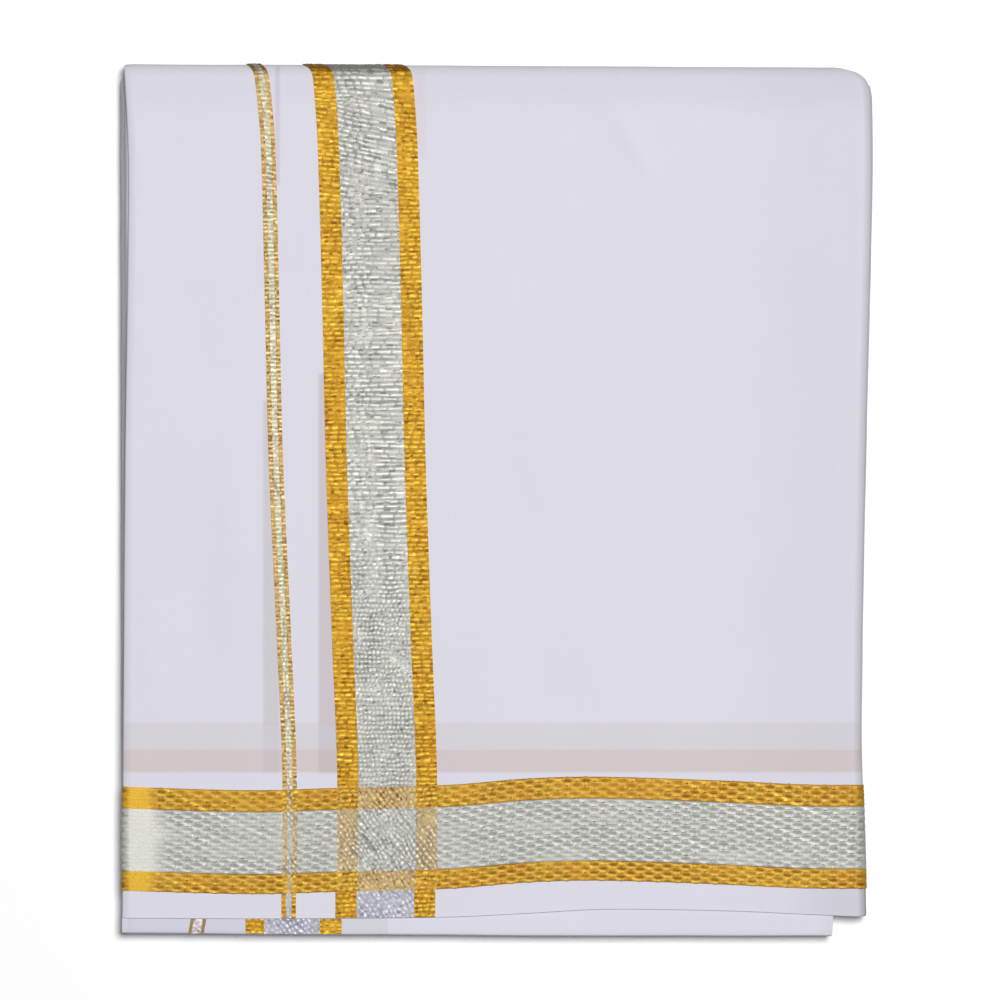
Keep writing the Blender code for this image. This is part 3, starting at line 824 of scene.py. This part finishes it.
def crossing_thread(x):
    """How far the border is crossed at x by the end band or the stripe, by which thread, and its offset."""
    for middle, gold, silver in CROSSING_BANDS:
        off = x - middle(CROSSING_Y)
        inside = silver / 2 + gold - abs(off)
        if inside > -CROSSING_EDGE:
            slot = "silver_zari" if abs(off) < silver / 2 else "gold_zari"
            return smooth_step(0.5 + inside / (2 * CROSSING_EDGE)), slot, off
    return 0.0, None, 0.0


def border_stations():
    """The flat places where the cords are formed, closer together at the crossings and the side folds."""
    left, right = skin_sides(border_middle(0.0))
    flat_left, flat_right = left + ROLL_RADIUS, right - ROLL_RADIUS
    stations = [flat_left - SIDE_WRAP]
    while stations[-1] < flat_right + SIDE_WRAP:
        at = stations[-1]
        fine = crossing_thread(at)[0] > 0.0 or not flat_left < at < flat_right
        stations.append(at + (CROSSING_STEP if fine else CORD_STEP))
    return stations


STATIONS = border_stations()


def over_skin(place_x, travel, lift):
    """The point a lift above the skin at its flat place, which rolls under at the two side folds."""
    left, right = skin_sides(travel)
    flat_left, flat_right = left + ROLL_RADIUS, right - ROLL_RADIUS
    x, depth = place_x, -lift
    if place_x < flat_left:
        inward, depth = rolled_under(flat_left - place_x, lift)
        x = left + inward
    elif place_x > flat_right:
        inward, depth = rolled_under(place_x - flat_right, lift)
        x = right - inward
    station = min(max(place_x, flat_left), flat_right)
    return packet_point(x, travel, depth + shoulder(station, left, right))


def cord_sway(x, cord):
    """A cord's sideways sway in pitches, its phase, and how strong the pattern is there."""
    in_silver = GOLD_CORDS <= cord < GOLD_CORDS + SILVER_CORDS
    shown = smooth_step((x - STATIONS[0] - FADED_END) / (FADE_LENGTH if in_silver else 0.5 * FADE_LENGTH))
    shown += smooth_step(1.0 - (x - STATIONS[0]) / OUTER_LENGTH)
    patch = noise.noise(Vector((x / (24 * MM), cord * 0.24, 2.7)))
    patch += 0.5 * noise.noise(Vector((x / (9 * MM), cord * 0.5, 6.1)))
    strength = shown * min(max(0.88 + 0.70 * patch, 0.40 if in_silver else 0.74), 1.20)
    drift = 0.25 * noise.noise(Vector((x / (45 * MM), cord * 0.2, 7.3)))
    drift += 0.14 * noise.noise(Vector((x / (6 * MM), cord, 3.7)))
    phase = 2.0 * x / WAVE_LENGTH + cord + drift
    return CORD_SWAY * min(strength, 1.0) * math.sin(math.pi * phase), phase, strength


def cord_crest(x, cord, phase, strength):
    """The tone along the top of a cord, with painted highlights: bright under each opening and in a few
    long slanting chains, and a little painted shade where it does not fall.
    """
    chain = math.floor((phase - 0.5) / 2.0)
    falling = max(-math.cos(math.pi * phase), 0.0)
    under = max(-math.sin(math.pi * phase), 0.0)
    patch = 0.5 + 1.1 * noise.noise(Vector((x / (20 * MM), chain * 1.7, 5.1)))
    glint = falling * min(max(chance(chain, 11) * 1.6 - 0.6, 0.0), 1.0) * min(max(patch, 0.0), 1.0)
    grain = chance(math.floor(x / (0.55 * MM)), cord, 4)
    shine = 0.22 * glint + 0.16 * under - 0.04 * (1.0 - falling)
    return 0.50 + strength * shine + 0.5 * speck(grain) * min(strength + 0.2, 1.0)


def border_strip(name, node, low, pitch, cords, slot, first_cord):
    """One strip of the border, four rows to a cord: a boundary, a shoulder, the crest and a shoulder."""

    def lay(column, row):
        x = STATIONS[column]
        cord, part = divmod(row, 4)
        sway, phase, strength = cord_sway(x, first_cord + cord)
        middle = (cord + 0.5 + sway) * pitch
        if part == 0:
            below = (cord - 0.5 + cord_sway(x, first_cord + cord - 1)[0]) * pitch
            apart = (middle - below) / pitch - 1.0
            across = 0.5 * (middle + below)
            if cord in (0, cords):
                across = cord * pitch
                apart = 0.9 * abs(middle / pitch - cord - (0.5 if cord == 0 else -0.5))
            parted = smooth_step(0.15 + apart / (1.5 * CORD_SWAY)) * min(strength, 1.0)
            height = 0.80 - 0.72 * parted
            # Painted shade in the opening where the cords part
            tone = 0.48 - PARTED_DARKNESS[slot] * parted * strength
        else:
            across = middle + (part - 2) * 0.30 * pitch
            height = 1.0 if part == 2 else 0.88 - 0.12 * strength
            # The shoulders are painted a little darker than the crest: painted shade on the cord's sides
            tone = cord_crest(x, first_cord + cord, phase, strength) - (0.0 if part == 2 else 0.05)
        calm = smooth_step(1.0 - 2.0 * strength)
        height += (0.92 - height) * 0.85 * calm
        # Where the pattern lies flat, mostly at the left end, the tone is raised as a painted highlight of
        # glare; at the right end it is lowered as painted shade over the side fold
        tone += 0.20 * calm - 0.10 * smooth_step(1.0 - (STATIONS[-1] - x) / RIGHT_END_SHADE)
        paler = 0.0
        if slot == "gold_zari":
            tone += 0.025 * (1.0 - calm)
            paler = 0.10 * (1.0 - calm)
        share, thread, off = crossing_thread(x)
        if share:
            flat = ((cord + part / 4.0) if row < 4 * cords else cords) * pitch
            rise, shade = slant_floats(x, low + flat, 21)
            if slot == thread == "gold_zari":
                rise, shade = packed_ribs(off, low + flat, 31, CROSSING_RUN, firm=GOLD_FIRM)
            across += (flat - across) * share
            height += (0.3 + 0.7 * rise - height) * share
            tone += (shade - tone) * share
        travel = border_middle(x) + low + across
        lift = BAND_LIFT + CORD_HEIGHT * height
        return over_skin(x, travel, lift), (x, travel), tone, max(share * (thread != slot), paler)

    strip = finish_piece(name, laid_grid(len(STATIONS) - 1, 4 * cords, lay), ZARI[slot])
    thicken(strip, BAND_THICKNESS)
    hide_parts(node)
    return strip


border_pieces = [
    border_strip("border_gold_low", "border_gold_lower", BORDER_FOOT,
                 LOW_GOLD / GOLD_CORDS, GOLD_CORDS, "gold_zari", 0),
    border_strip("border_silver_middle", "border_silver", -SELVEDGE_SILVER / 2,
                 SELVEDGE_SILVER / SILVER_CORDS, SILVER_CORDS, "silver_zari", 5),
    border_strip("border_gold_high", "border_gold_upper", SELVEDGE_SILVER / 2,
                 HIGH_GOLD / GOLD_CORDS, GOLD_CORDS, "gold_zari", 21),
]

# ---- End band ------------------------------------------------------------------------------------
# The wide zari band at the cloth's end, silver between two golds, with ribs that the weft packs close and
# breaks into short runs. It runs up the front, over the turn and down the back.
RIB_ROWS = 4
BAND_COLUMN = 0.5 * MM
SHORT_RUN, LONG_RUN, GOLD_RUN = 1.5 * MM, 5.5 * MM, 3.4 * MM
SILVER_FIRM = 0.55
# How much darker the end band's silver is towards the top
TOP_DARKENING = 0.05
PRESSED_SHARE = 0.50

# The ribs tilt to the right a little way below the top, and the silver's runs are longest on its right
RIB_TILT = 0.21
TILT_START, TILT_GROWTH = 100 * MM, 22 * MM
TILT_END, TILT_FADE = 152 * MM, 12 * MM
LEFT_RUN_SHARE, RUN_CHANGE_WIDTH = 0.35, 8 * MM
SHORT_RUNS_END, RUN_GROWTH = -45 * MM, 50 * MM


def band_strips(gold, silver):
    """The left and right offsets of a band's gold, silver and gold strips."""
    return (
        ("gold_left", -silver / 2 - gold, -silver / 2, "gold_zari"),
        ("silver", -silver / 2, silver / 2, "silver_zari"),
        ("gold_right", silver / 2, silver / 2 + gold, "gold_zari"),
    )


def band_strip(name, left, right, middle, foot, end, slot, seed, node=None,
               column_size=BAND_COLUMN, pitch=RIB_PITCH, turn_shaded=False, finish=None):
    """A ribbed strip between two offsets from a band's middle line, from its foot to its end."""
    columns = max(round((right - left) / column_size), 3)
    rows = RIB_ROWS * round((end - foot(middle(0.0))) / pitch)

    def lay(column, row):
        off = left + (right - left) * column / columns
        start = foot(middle(0.0) + off)
        travel = start + (end - start) * row / rows
        x = middle(travel) + off
        run, firm = GOLD_RUN, GOLD_FIRM
        tilt = RIB_TILT * smooth_step((travel - TILT_START) / TILT_GROWTH)
        tilt *= smooth_step((TILT_END - travel) / TILT_FADE)
        if slot == "silver_zari":
            share = smooth_step(0.5 + off / RUN_CHANGE_WIDTH)
            share = LEFT_RUN_SHARE + (1.0 - LEFT_RUN_SHARE) * share
            share *= smooth_step((travel - SHORT_RUNS_END) / RUN_GROWTH)
            run, firm = SHORT_RUN + (LONG_RUN - SHORT_RUN) * share, SILVER_FIRM
        else:
            tilt *= 0.5
        height, tone = packed_ribs(off, travel + tilt * off, seed, run, pitch, firm)
        # Painted shade where the band goes over the top turn
        if turn_shaded:
            turned = (travel - TURN_Y) / TURN_LENGTH
            tone -= 0.55 * smooth_step((turned - 0.10) / 0.19) * smooth_step((0.60 - turned) / 0.16)
        if slot == "silver_zari":
            tone -= TOP_DARKENING * smooth_step((travel - 60 * MM) / (40 * MM))
        pressed = PRESSED_SHARE * smooth_step(2.0 * (travel - TURN_Y) / TURN_LENGTH - 1.0)
        lift = BAND_LIFT + RIB_HEIGHT * (1.0 - pressed) * height
        return packet_point(x, travel, -lift), (x, travel), tone, 0.0

    strip = finish_piece(name, laid_grid(columns, rows, lay), ZARI[finish or slot])
    thicken(strip, BAND_THICKNESS)
    if node:
        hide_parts(node)
    return strip


def above_border(x):
    return border_middle(x) + BORDER_HEAD


def by_travel(middle):
    """A band's middle line, read by the travel along the skin in place of the height up the packet."""
    return lambda travel: middle(skin_y(travel))


OVER_TURN = BACK_START - 0.4 * MM
band_pieces = []
for strip, left, right, slot in band_strips(END_GOLD, END_SILVER):
    name = f"end_{strip}"
    band_pieces.append(band_strip(
        f"{name}_run", left, right, by_travel(end_band_middle), above_border, OVER_TURN, slot,
        seed=41 + len(band_pieces) * 10, node=name, turn_shaded=True))

# In the plain margin below the border the silver is worn to a cool lavender grey
MARGIN_ROWS = 24
ZARI["worn_silver"] = zari_material(
    "worn_silver_zari_thread", (0.20, 0.20, 0.24, 1.0),
    ((0.38, 0.38, 0.44, 1.0), (0.40, 0.40, 0.45, 1.0)), (0.74, 0.75, 0.80, 1.0), PALE_GOLD)


def margin_tail(name, left, right, middle, slot, seed):
    """The short end of a strip in the plain margin, from the selvedge up to the border."""
    columns = max(round((right - left) / BAND_COLUMN), 3)
    rows = MARGIN_ROWS

    def lay(column, row):
        off = left + (right - left) * column / columns
        x = middle(-HALF_LENGTH) + off
        foot, head = front_end(x) + 0.1 * MM, border_middle(x) + BORDER_FOOT
        travel = foot + (head - foot) * row / rows
        if slot == "silver_zari":
            rise, tone = slant_floats(x, travel, seed)
        else:
            rise, tone = packed_ribs(off, travel, seed, CROSSING_RUN, firm=GOLD_FIRM)
        lift = BAND_LIFT + RIB_HEIGHT * (0.15 + 0.85 * rise)
        return packet_point(x, travel, -lift), (x, travel), tone, 0.0

    finish = "worn_silver" if slot == "silver_zari" else slot
    tail = finish_piece(f"{name}_end", laid_grid(columns, rows, lay), ZARI[finish])
    thicken(tail, BAND_THICKNESS)
    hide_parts(f"{name}_tail")
    return tail


for strip, left, right, slot in band_strips(END_GOLD, END_SILVER):
    band_pieces.append(margin_tail(f"end_{strip}", left, right, end_band_middle, slot, 71))

# The same band goes on down the back, on the side that the packet rests on
BackRow = namedtuple("BackRow", "y end_band stripe")
BACK_BAND_ROWS = (
    BackRow(-158.4, -46.8, -82.4),
    BackRow(0.0, -46.0, -81.8),
    BackRow(120.0, -48.5, -84.6),
    BackRow(150.0, -50.6, -87.2),
    BackRow(158.4, -51.6, -88.4),
)
BACK_END = back_end(-60 * MM, SKIN_BACK_END + 0.4 * MM)


end_back_middle = by_travel(functools.partial(read_smooth, BACK_BAND_ROWS, "end_band"))
stripe_back_middle = by_travel(functools.partial(read_smooth, BACK_BAND_ROWS, "stripe"))


def from_turn(x):
    return OVER_TURN


for strip, left, right, slot in band_strips(END_GOLD, END_SILVER):
    band_pieces.append(band_strip(
        f"end_{strip}_back", left, right, end_back_middle, from_turn, BACK_END, slot,
        seed=81 + len(band_pieces) * 10, column_size=1.1 * MM))

# ---- Stripe --------------------------------------------------------------------------------------
# A narrow zari stripe beside the end band: two fine gold lines with pale silver ribs between them.
# It crosses the border and shows again in the margin, as the end band does.
STRIPE_PITCH = 1.55 * MM
ZARI["stripe_gold_zari"] = zari_material(
    "stripe_gold_thread", (0.16, 0.095, 0.020, 1.0),
    ((0.385, 0.268, 0.080, 1.0), (0.475, 0.286, 0.108, 1.0)), (0.80, 0.62, 0.32, 1.0), PALE_GOLD)
ZARI["stripe_silver_zari"] = zari_material(
    "stripe_silver_thread", (0.22, 0.22, 0.17, 1.0),
    ((0.49, 0.475, 0.325, 1.0), (0.50, 0.443, 0.335, 1.0)), (0.78, 0.79, 0.66, 1.0), PALE_GOLD)

for strip, left, right, slot in band_strips(STRIPE_GOLD, STRIPE_SILVER):
    name = f"stripe_{strip}"
    band_pieces.append(band_strip(
        f"{name}_run", left, right, by_travel(stripe_middle), above_border, OVER_TURN, slot,
        seed=141 + len(band_pieces) * 10, node=name, column_size=0.4 * MM, pitch=STRIPE_PITCH,
        turn_shaded=True, finish=f"stripe_{slot}"))
    band_pieces.append(margin_tail(name, left, right, stripe_middle, slot, 75))
    band_pieces.append(band_strip(
        f"{name}_back", left, right, stripe_back_middle, from_turn, BACK_END, slot,
        seed=241 + len(band_pieces) * 10, column_size=0.6 * MM, pitch=STRIPE_PITCH,
        finish=f"stripe_{slot}"))

# ---- Tails of the layer below --------------------------------------------------------------------
# The ends of an inner layer's bands, woven in the same zari. They show only where the folded layers lap
# out below the front run, at the foot of the packet.
TailRow = namedtuple("TailRow", "name left right lean slot")
UNDER_TAILS = (
    TailRow("under_tail_stripe", -111.1, -105.5, -0.9, "silver_zari"),
    TailRow("under_tail_gold_left", -91.2, -84.5, 0.0, "gold_zari"),
    TailRow("under_tail_silver", -84.5, -64.3, 0.0, "silver_zari"),
    TailRow("under_tail_gold_right", -64.3, -56.4, 0.0, "gold_zari"),
)
TAIL_LIFT = 0.17 * MM
TAIL_COLUMN = 0.45 * MM
TAIL_ROWS = 20
LINE_WIDTH = 1.3 * MM
ZARI["worn_stripe"] = zari_material(
    "worn_stripe_zari_thread", (0.15, 0.10, 0.05, 1.0),
    ((0.46, 0.41, 0.45, 1.0), (0.50, 0.45, 0.50, 1.0)), (0.78, 0.76, 0.80, 1.0), (0.32, 0.21, 0.05, 1.0))

for number, tail_row in enumerate(UNDER_TAILS):
    tail_width = (tail_row.right - tail_row.left) * MM
    columns = round(tail_width / TAIL_COLUMN)

    def lay_tail(column, row):
        off = tail_width * column / columns
        x = tail_row.left * MM + off
        foot = read_smooth(BORDER_ROWS, "foot", x) + 0.5 * MM
        head = front_end(x) - LAP_GAP - LAP_LEAN
        y = foot + (head - foot) * row / TAIL_ROWS
        x += tail_row.lean * MM * (1.0 - row / TAIL_ROWS)
        if tail_row.slot == "gold_zari":
            rise, tone = packed_ribs(off, y, 91 + number, CROSSING_RUN, firm=GOLD_FIRM)
        else:
            rise, tone = slant_floats(x, y, 91 + number)
        on_line = tail_row.name == "under_tail_stripe" and min(off, tail_width - off) < LINE_WIDTH
        # On the stripe's two lines the tone follows the ribs' height: dark lines with painted shade in
        # their hollows
        if on_line:
            tone = 0.12 + 0.40 * rise
        lift = TAIL_LIFT + RIB_HEIGHT * (0.2 + 0.8 * rise)
        point = Vector((x, y, TURN_Z - TURN_RADIUS + lap_depth(x, y) + lift))
        return point, (x, y), tone, float(on_line)

    finish = "worn_silver" if tail_row.slot == "silver_zari" else tail_row.slot
    finish = "worn_stripe" if tail_row.name == "under_tail_stripe" else finish
    tail = finish_piece(f"{tail_row.name}_shown", laid_grid(columns, TAIL_ROWS, lay_tail),
                        ZARI[finish])
    thicken(tail, BAND_THICKNESS)
    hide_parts(tail_row.name)
    band_pieces.append(tail)

# ---- Floor, light and camera ---------------------------------------------------------------------
# A plain pale floor under the packet, one broad soft light from above and a pale room round it.
floor_shape = bmesh.new()
bmesh.ops.create_grid(floor_shape, x_segments=1, y_segments=1, size=4.0)
floor_mesh = bpy.data.meshes.new("floor")
floor_shape.to_mesh(floor_mesh)
floor_shape.free()
floor = bpy.data.objects.new("floor", floor_mesh)
bpy.context.scene.collection.objects.link(floor)
floor_paint = bpy.data.materials.new("floor_paint")
floor_paint.use_nodes = True
paint = floor_paint.node_tree
floor_shader = paint.nodes["Principled BSDF"]
floor_place = add_node(paint, "ShaderNodeTexCoord").outputs["Object"]
mottle = add_node(paint, "ShaderNodeTexNoise", {"Vector": floor_place, "Scale": 3.0})
floor_colour = blend_colours(paint, mottle.outputs["Fac"], (0.90, 0.90, 0.90, 1.0), (0.91, 0.91, 0.91, 1.0))
paint.links.new(floor_colour, floor_shader.inputs["Base Color"])
floor_shader.inputs["Roughness"].default_value = 0.95
floor_shader.inputs["Specular IOR Level"].default_value = 0.1
floor_mesh.materials.append(floor_paint)

room = bpy.data.worlds.new("pale_room")
bpy.context.scene.world = room
room.use_nodes = True
room.node_tree.nodes["Background"].inputs["Color"].default_value = (1.0, 1.0, 1.0, 1.0)
room.node_tree.nodes["Background"].inputs["Strength"].default_value = 0.06


def soft_light(name, place, size, power):
    lamp = bpy.data.lights.new(name, "AREA")
    lamp.shape = "DISK"
    lamp.size = size
    lamp.energy = power
    light = bpy.data.objects.new(name, lamp)
    light.location = place
    light.rotation_euler = (-Vector(place)).to_track_quat("-Z", "Y").to_euler()
    bpy.context.scene.collection.objects.link(light)


soft_light("broad_light", (0.72, 0.80, 5.0), 1.65, 287.0)

VIEW_WIDTH = 0.3628
CAMERA_DISTANCE = 3.0
SENSOR_WIDTH = 36.0
TOP_HEIGHT = 14 * MM
camera_data = bpy.data.cameras.new("camera")
camera_data.sensor_width = SENSOR_WIDTH
camera_data.lens = SENSOR_WIDTH * (CAMERA_DISTANCE - TOP_HEIGHT) / VIEW_WIDTH
camera = bpy.data.objects.new("camera", camera_data)
camera.location = (1.1 * MM, 0.1 * MM, CAMERA_DISTANCE)
bpy.context.scene.collection.objects.link(camera)
bpy.context.scene.camera = camera
bpy.context.scene.view_settings.view_transform = "Standard"
